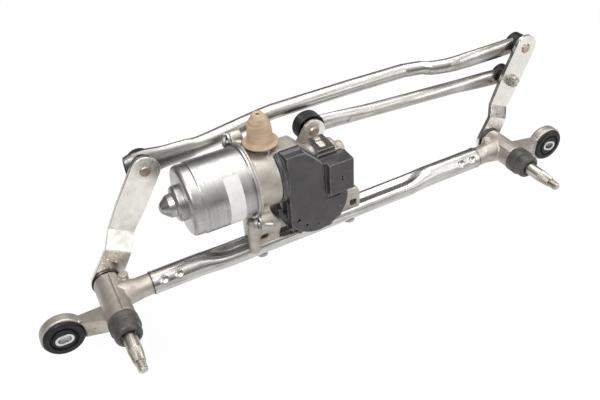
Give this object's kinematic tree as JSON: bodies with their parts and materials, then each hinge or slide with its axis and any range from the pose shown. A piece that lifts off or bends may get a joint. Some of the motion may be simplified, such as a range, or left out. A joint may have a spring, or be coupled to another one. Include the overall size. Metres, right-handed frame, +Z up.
{
  "type": "windscreen wiper linkage",
  "caption": "Windscreen wiper linkage: tubular frame with two spindle housings, geared motor, crank, levers and link rods.",
  "frame": {"origin": "on the left spindle's axis, where its plain shaft leaves the seal cap", "axes": "+X along the frame tube from the left spindle towards the right one, -Y the way both spindles point out, +Z up"},
  "size_m": [0.5723, 0.1479, 0.1726],
  "materials": {
    "galvanised_tube": "galvanised, soft streaks",
    "cast_alloy": "as cast, fine grain",
    "grommet_rubber": "satin moulded rubber",
    "bright_zinc": "bright zinc plate",
    "sintered_bronze": "oiled sintered bronze",
    "cap_plastic": "satin",
    "motor_steel": "drawn and zinc plated",
    "magnet_ceramic": "dark ceramic",
    "screw_steel": "zinc plate",
    "brush_plastic": "moulded",
    "cover_plastic": "satin moulded",
    "board_laminate": "lacquered",
    "pin_tin": "tinned",
    "vent_rubber": "soft tan rubber",
    "rotor_steel": "ground steel",
    "winding_copper": "enamelled copper",
    "wheel_nylon": "natural nylon",
    "lever_zinc": "zinc plated sheet",
    "stud_steel": "turned and zinc plated",
    "rod_steel": "galvanised tube",
    "socket_plastic": "moulded"
  },
  "bodies": {
    "frame_assembly": {"frame_tube": "galvanised_tube", "left_housing": "cast_alloy", "right_housing": "cast_alloy", "left_grommet": "grommet_rubber", "right_grommet": "grommet_rubber", "left_eye_bush": "bright_zinc", "right_eye_bush": "bright_zinc", "left_bearing_bushes": "sintered_bronze", "right_bearing_bushes": "sintered_bronze", "left_seal_cap": "cap_plastic", "right_seal_cap": "cap_plastic", "left_washers": "bright_zinc", "right_washers": "bright_zinc", "motor_can": "motor_steel", "field_magnets": "magnet_ceramic", "can_screws": "screw_steel", "brush_plate": "brush_plastic", "end_bearing": "sintered_bronze", "casing_bearings": "sintered_bronze", "gear_casing": "cast_alloy", "foot_screws": "screw_steel", "output_bush": "sintered_bronze", "gear_cover": "cover_plastic", "circuit_board": "board_laminate", "connector_pins": "pin_tin", "vent_cap": "vent_rubber"},
    "motor_rotor": {"armature": "rotor_steel", "windings": "winding_copper", "commutator": "winding_copper", "worm": "rotor_steel"},
    "crank": {"worm_wheel": "wheel_nylon", "output_shaft": "rotor_steel", "crank_arm": "lever_zinc", "crank_nut": "screw_steel", "crank_ball_stud": "stud_steel"},
    "right_arm": {"right_spindle": "stud_steel", "right_circlip": "bright_zinc", "right_lever": "lever_zinc", "right_ball_stud": "stud_steel", "mid_ball_stud": "stud_steel", "mid_stud_nut": "screw_steel"},
    "left_arm": {"left_spindle": "stud_steel", "left_circlip": "bright_zinc", "left_lever": "lever_zinc", "left_ball_stud": "stud_steel"},
    "long_link": {"long_rod": "rod_steel", "long_rod_open_socket": "socket_plastic", "long_rod_socket": "socket_plastic"},
    "short_link": {"short_rod": "rod_steel", "crank_boot": "socket_plastic", "short_rod_socket": "socket_plastic"}
  },
  "joints": [
    {"name": "right_lever_swing", "type": "hinge", "parent": "frame_assembly", "child": "right_arm", "pos_m": [0.414, 0, 0.011], "axis": [0, 1, 0], "range_deg": [-60, 21]},
    {"name": "left_lever_swing", "type": "hinge", "parent": "frame_assembly", "child": "left_arm", "pos_m": [0, 0, 0], "axis": [0, 1, 0], "range_deg": [-57, 20]},
    {"name": "crank_turn", "type": "hinge", "parent": "frame_assembly", "child": "crank", "pos_m": [0.1877, 0, 0.0431], "axis": [0, 1, 0], "range_deg": [-82.5, 29]},
    {"name": "long_rod_swing", "type": "hinge", "parent": "right_arm", "child": "long_link", "pos_m": [0.45307, 0.08172, 0.10305], "axis": [0, 1, 0], "range_deg": [-22.5, 63]},
    {"name": "short_rod_swing", "type": "hinge", "parent": "right_arm", "child": "short_link", "pos_m": [0.43967, 0.08172, 0.07148], "axis": [0, 1, 0], "range_deg": [-22, 61]},
    {"name": "motor_spin", "type": "hinge", "parent": "frame_assembly", "child": "motor_rotor", "pos_m": [0.1, 0.05, 0.0746], "axis": [1, 0, 0], "continuous": true}
  ],
  "couplings": [
    {"joint": "left_lever_swing", "follows": "right_lever_swing", "ratio": 0.9451},
    {"joint": "crank_turn", "follows": "right_lever_swing", "ratio": 1.3683},
    {"joint": "long_rod_swing", "follows": "right_lever_swing", "ratio": -1.0422},
    {"joint": "short_rod_swing", "follows": "right_lever_swing", "ratio": -1.0015}
  ]
}
